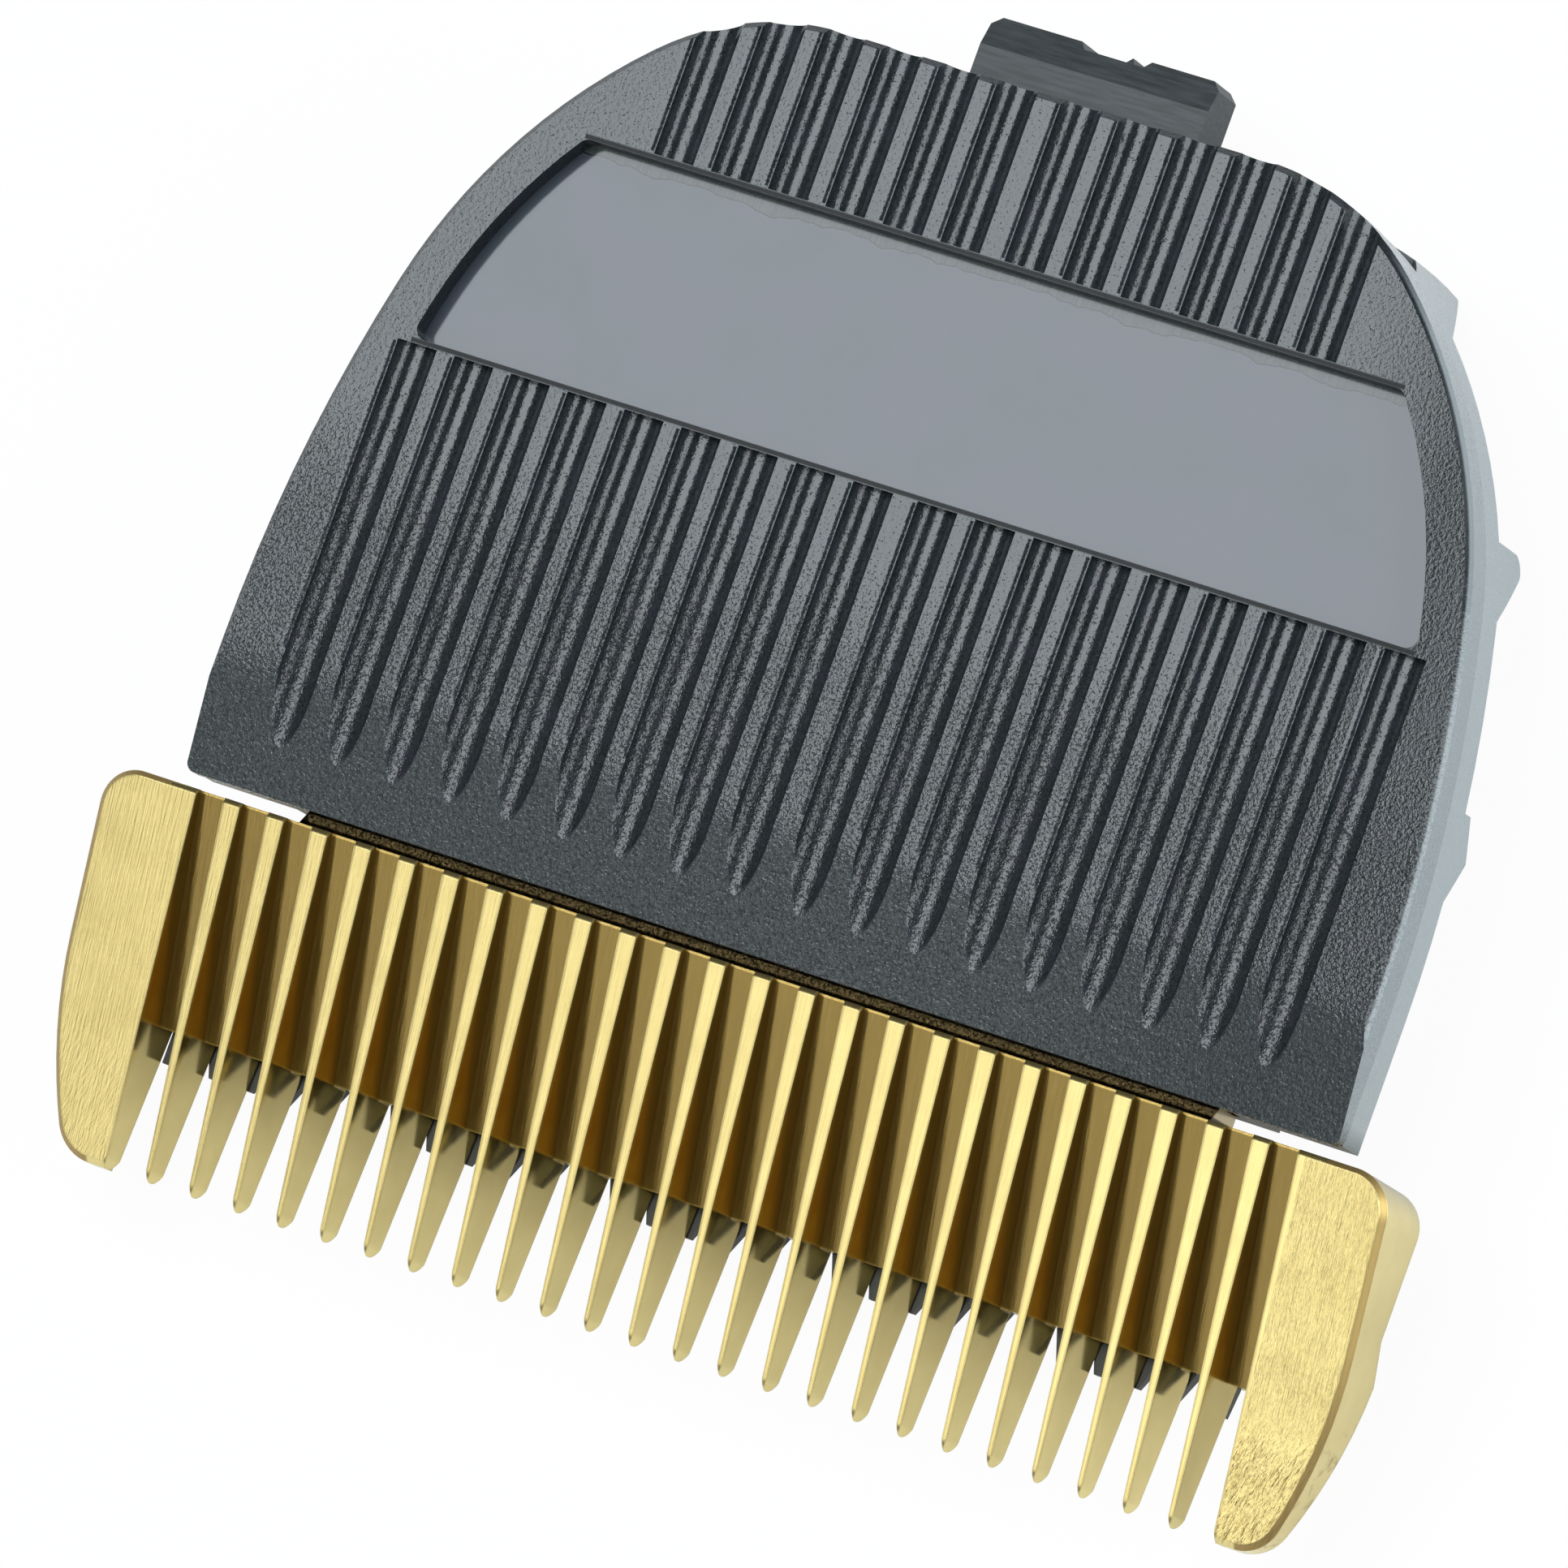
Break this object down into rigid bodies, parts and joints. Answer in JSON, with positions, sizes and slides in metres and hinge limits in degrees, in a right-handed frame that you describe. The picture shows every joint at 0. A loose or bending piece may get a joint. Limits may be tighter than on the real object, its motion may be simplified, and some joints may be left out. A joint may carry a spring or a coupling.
{
  "type": "hair clipper blade",
  "caption": "Detachable hair clipper blade cassette: gold-coated toothed comb, dark sliding cutter behind it, grooved D-shaped cover and a rear frame with drive slot and hook.",
  "frame": {"origin": "centre of the cassette's box, on the plane of the rear rim", "axes": "+X along the cutting edge, +Y from the tooth tips to the hook, +Z out of the grooved front"},
  "size_m": [0.046, 0.044, 0.009],
  "materials": {
    "cover_plastic": "fine spark texture, charcoal",
    "frame_plastic": "satin, charcoal grey",
    "gold_steel": "brushed, gold-coloured hard coating",
    "screw_steel": "bright zinc",
    "spring_wire": "drawn spring wire",
    "black_steel": "black coating, satin",
    "yoke_plastic": "satin, black"
  },
  "bodies": {
    "cassette": {"front_cover": "cover_plastic", "rear_frame": "frame_plastic", "fixed_blade": "gold_steel", "left_screw": "screw_steel", "right_screw": "screw_steel", "left_spring": "spring_wire", "right_spring": "spring_wire"},
    "cutter": {"moving_blade": "black_steel", "drive_yoke": "yoke_plastic"}
  },
  "joints": [
    {"name": "cutter_stroke", "type": "slide", "parent": "cassette", "child": "cutter", "axis": [1, 0, 0], "range_m": [-0.00067, 0.00173]}
  ]
}
